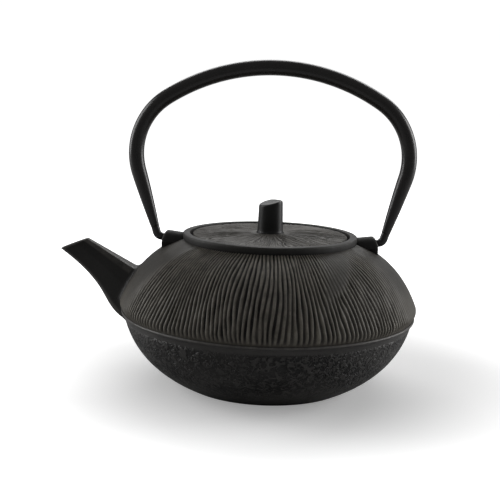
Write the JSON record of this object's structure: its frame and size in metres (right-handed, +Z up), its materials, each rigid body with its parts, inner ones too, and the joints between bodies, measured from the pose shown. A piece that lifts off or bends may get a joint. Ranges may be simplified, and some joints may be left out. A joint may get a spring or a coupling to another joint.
{
  "type": "cast iron teapot",
  "caption": "Squat cast iron teapot with a grooved dome, textured bowl, angular spout, flat lid with a peg knob, arched swinging bail and a steel mesh infuser.",
  "frame": {"origin": "centre of the flat foot, on the surface that the pot stands on", "axes": "+Z up along the pot's axis, spout towards -X, the bail's hinge axis along X"},
  "size_m": [0.1992, 0.165, 0.179],
  "materials": {
    "cast_iron_body": "matt black-brown glaze over sand-cast grain, black enamel inside",
    "cast_iron_lid": "matt black-brown glaze over fine radial grooves",
    "cast_iron_knob": "smooth satin black",
    "black_enamelled_steel": "satin black stoving enamel",
    "stainless_sheet": "pressed stainless sheet, fine circular brushing",
    "stainless_mesh": "woven stainless mesh",
    "screw_steel": "plain stainless"
  },
  "bodies": {
    "pot": {"pot_body": "cast_iron_body"},
    "bail": {"bail_tube": "black_enamelled_steel", "bail_pin_spout": "black_enamelled_steel", "bail_pin_rear": "black_enamelled_steel"},
    "infuser": {"infuser_rim": "stainless_sheet", "infuser_wall": "stainless_mesh", "infuser_base": "stainless_mesh", "infuser_band": "stainless_sheet"},
    "lid": {"lid": "cast_iron_lid", "lid_knob": "cast_iron_knob", "knob_screw": "screw_steel", "knob_washer": "screw_steel"}
  },
  "joints": [
    {"name": "bail_swing", "type": "hinge", "parent": "pot", "child": "bail", "pos_m": [0, 0, 0.0805], "axis": [1, 0, 0], "range_deg": [-110, 110]},
    {"name": "infuser_lift", "type": "slide", "parent": "pot", "child": "infuser", "axis": [0, 0, 1], "range_m": [0, 0.03]},
    {"name": "lid_lift", "type": "slide", "parent": "pot", "child": "lid", "axis": [0, 0, 1], "range_m": [0, 0.06]}
  ],
  "couplings": [
    {"joint": "infuser_lift", "follows": "lid_lift", "ratio": 0.5}
  ]
}
